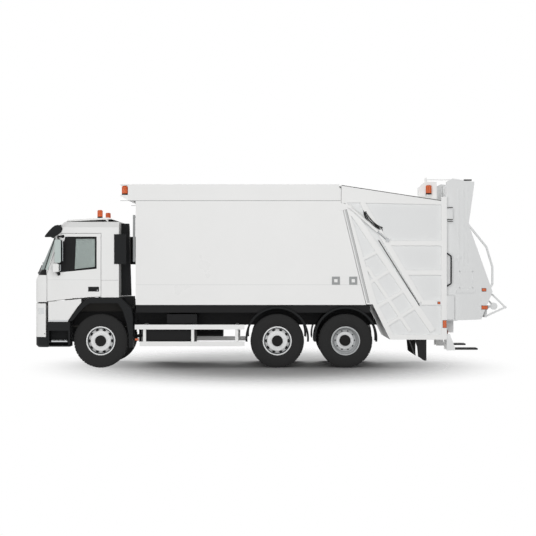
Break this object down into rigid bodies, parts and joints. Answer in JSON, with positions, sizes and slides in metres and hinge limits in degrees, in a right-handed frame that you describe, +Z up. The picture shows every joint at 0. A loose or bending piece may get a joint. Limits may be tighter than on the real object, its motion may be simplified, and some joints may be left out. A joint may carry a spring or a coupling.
{
  "type": "garbage truck",
  "caption": "Rear-loading garbage truck with a tilting cab, a smooth-sided load body and a lattice-sided tailgate that carries the packer and the bin lifter.",
  "frame": {"origin": "on the ground under the middle of the overall length and width", "axes": "+X towards the cab's front, +Y to the truck's left side, +Z up"},
  "size_m": [9.563, 3.04, 3.838],
  "materials": {
    "white_paint": "gloss white paint",
    "light_grey_paint": "satin light grey paint",
    "chassis_black": "satin black paint",
    "dark_plastic": "grained black plastic",
    "wheel_silver": "silver paint",
    "wheel_grey": "grey paint with a bright hub",
    "tyre_rubber": "dull black rubber",
    "flap_rubber": "dull black rubber",
    "glass": "tinted clear glass",
    "lamp_lens": "clear ribbed lens",
    "orange_lens": "orange lens",
    "red_lens": "red lens",
    "steel": "worn bare steel",
    "chrome_rod": "polished cylinder rod",
    "grey_fittings": "satin grey paint",
    "engine_iron": "dull cast iron",
    "tank_metal": "brushed aluminium",
    "interior_grey": "grained grey plastic"
  },
  "bodies": {
    "chassis": {"chassis_frame": "chassis_black", "subframe": "chassis_black", "engine": "engine_iron", "front_axle": "chassis_black", "rear_axles": "chassis_black", "bumper": "white_paint", "bumper_valance": "dark_plastic", "headlamps": "lamp_lens", "cab_steps": "dark_plastic", "step_panels": "white_paint", "front_fenders": "dark_plastic", "rear_mudguards": "dark_plastic", "side_guards": "white_paint", "tanks": "tank_metal", "body_box": "white_paint", "body_fittings": "grey_fittings", "body_beacons": "orange_lens"},
    "cab": {"cab_shell": "white_paint", "windscreen": "glass", "cab_interior": "interior_grey", "sun_visor": "dark_plastic", "roof_bar": "white_paint", "cab_beacons": "orange_lens", "intake_stack": "dark_plastic"},
    "tailgate": {"tailgate": "white_paint", "lifter_frame": "light_grey_paint", "tail_lights": "red_lens", "grab_rails": "chassis_black", "mud_flaps": "flap_rubber"},
    "packer_carriage": {"packer_carriage": "steel"},
    "packer_blade": {"packer_blade": "steel"},
    "bin_comb": {"bin_comb": "light_grey_paint"},
    "ejector": {"ejector": "steel"},
    "door_left": {"door_left": "white_paint", "door_glass_left": "glass", "mirror_left": "dark_plastic"},
    "knuckle_left": {"knuckle_left": "chassis_black"},
    "wheel_front_left": {"tyre_front_left": "tyre_rubber", "rim_front_left": "wheel_silver"},
    "wheel_pusher_left": {"tyre_pusher_left": "tyre_rubber", "rim_pusher_left": "wheel_silver"},
    "wheel_drive_left": {"tyre_drive_left": "tyre_rubber", "rim_drive_left": "wheel_grey"},
    "lift_barrel_left": {"lift_barrel_left": "white_paint"},
    "lift_rod_left": {"lift_rod_left": "chrome_rod"},
    "rider_step_left": {"rider_step_left": "chassis_black"},
    "door_right": {"door_right": "white_paint", "door_glass_right": "glass", "mirror_right": "dark_plastic"},
    "knuckle_right": {"knuckle_right": "chassis_black"},
    "wheel_front_right": {"tyre_front_right": "tyre_rubber", "rim_front_right": "wheel_silver"},
    "wheel_pusher_right": {"tyre_pusher_right": "tyre_rubber", "rim_pusher_right": "wheel_silver"},
    "wheel_drive_right": {"tyre_drive_right": "tyre_rubber", "rim_drive_right": "wheel_grey"},
    "lift_barrel_right": {"lift_barrel_right": "white_paint"},
    "lift_rod_right": {"lift_rod_right": "chrome_rod"},
    "rider_step_right": {"rider_step_right": "chassis_black"}
  },
  "joints": [
    {"name": "cab_tilt", "type": "hinge", "parent": "chassis", "child": "cab", "pos_m": [4.64, 0, 0.72], "axis": [0, 1, 0], "range_deg": [0, 60]},
    {"name": "door_left_swing", "type": "hinge", "parent": "cab", "child": "door_left", "pos_m": [4.477, 1.242, 1.9], "axis": [0, 0, -1], "range_deg": [0, 70]},
    {"name": "steer_left", "type": "hinge", "parent": "chassis", "child": "knuckle_left", "pos_m": [3.4165, 0.9, 0.538], "axis": [0, 0, 1], "range_deg": [-38, 38]},
    {"name": "spin_front_left", "type": "hinge", "parent": "knuckle_left", "child": "wheel_front_left", "pos_m": [3.4165, 1.04, 0.538], "axis": [0, 1, 0], "continuous": true},
    {"name": "spin_pusher_left", "type": "hinge", "parent": "chassis", "child": "wheel_pusher_left", "pos_m": [-0.1255, 1.04, 0.538], "axis": [0, 1, 0], "continuous": true},
    {"name": "spin_drive_left", "type": "hinge", "parent": "chassis", "child": "wheel_drive_left", "pos_m": [-1.4955, 0.88, 0.538], "axis": [0, 1, 0], "continuous": true},
    {"name": "lift_barrel_left_turn", "type": "hinge", "parent": "chassis", "child": "lift_barrel_left", "pos_m": [-1.5695, 1.245, 3.226], "axis": [0, 1, 0], "range_deg": [0, 89]},
    {"name": "lift_rod_left_slide", "type": "slide", "parent": "lift_barrel_left", "child": "lift_rod_left", "axis": [-0.7518, 0, -0.6593], "range_m": [0, 0.55]},
    {"name": "rider_step_left_fold", "type": "hinge", "parent": "tailgate", "child": "rider_step_left", "pos_m": [-3.6705, 0.925, 0.372], "axis": [0, 1, 0], "range_deg": [0, 90]},
    {"name": "door_right_swing", "type": "hinge", "parent": "cab", "child": "door_right", "pos_m": [4.477, -1.242, 1.9], "axis": [0, 0, 1], "range_deg": [0, 70]},
    {"name": "steer_right", "type": "hinge", "parent": "chassis", "child": "knuckle_right", "pos_m": [3.4165, -0.9, 0.538], "axis": [0, 0, 1], "range_deg": [-38, 38]},
    {"name": "spin_front_right", "type": "hinge", "parent": "knuckle_right", "child": "wheel_front_right", "pos_m": [3.4165, -1.04, 0.538], "axis": [0, 1, 0], "continuous": true},
    {"name": "spin_pusher_right", "type": "hinge", "parent": "chassis", "child": "wheel_pusher_right", "pos_m": [-0.1255, -1.04, 0.538], "axis": [0, 1, 0], "continuous": true},
    {"name": "spin_drive_right", "type": "hinge", "parent": "chassis", "child": "wheel_drive_right", "pos_m": [-1.4955, -0.88, 0.538], "axis": [0, 1, 0], "continuous": true},
    {"name": "lift_barrel_right_turn", "type": "hinge", "parent": "chassis", "child": "lift_barrel_right", "pos_m": [-1.5695, -1.245, 3.226], "axis": [0, 1, 0], "range_deg": [0, 89]},
    {"name": "lift_rod_right_slide", "type": "slide", "parent": "lift_barrel_right", "child": "lift_rod_right", "axis": [-0.7518, 0, -0.6593], "range_m": [0, 0.55]},
    {"name": "rider_step_right_fold", "type": "hinge", "parent": "tailgate", "child": "rider_step_right", "pos_m": [-3.6705, -0.925, 0.372], "axis": [0, 1, 0], "range_deg": [0, 90]},
    {"name": "tailgate_lift", "type": "hinge", "parent": "chassis", "child": "tailgate", "pos_m": [-1.4075, 0, 3.64], "axis": [0, 1, 0], "range_deg": [0, 80]},
    {"name": "carriage_slide", "type": "slide", "parent": "tailgate", "child": "packer_carriage", "axis": [-0.5596, 0, -0.8288], "range_m": [0, 0.95]},
    {"name": "blade_turn", "type": "hinge", "parent": "packer_carriage", "child": "packer_blade", "pos_m": [-2.27688, 0, 2.16736], "axis": [0, 1, 0], "range_deg": [0, 85]},
    {"name": "comb_lift", "type": "hinge", "parent": "tailgate", "child": "bin_comb", "pos_m": [-3.9, 0, 1.8], "axis": [0, 1, 0], "range_deg": [0, 140]},
    {"name": "ejector_push", "type": "slide", "parent": "chassis", "child": "ejector", "axis": [-1, 0, 0], "range_m": [0, 3.4]}
  ],
  "couplings": [
    {"joint": "steer_right", "follows": "steer_left", "ratio": 1},
    {"joint": "lift_barrel_left_turn", "follows": "tailgate_lift", "ratio": 1.102},
    {"joint": "lift_rod_left_slide", "follows": "tailgate_lift", "m_per_rad": 0.3892},
    {"joint": "lift_barrel_right_turn", "follows": "tailgate_lift", "ratio": 1.102},
    {"joint": "lift_rod_right_slide", "follows": "tailgate_lift", "m_per_rad": 0.3892}
  ]
}
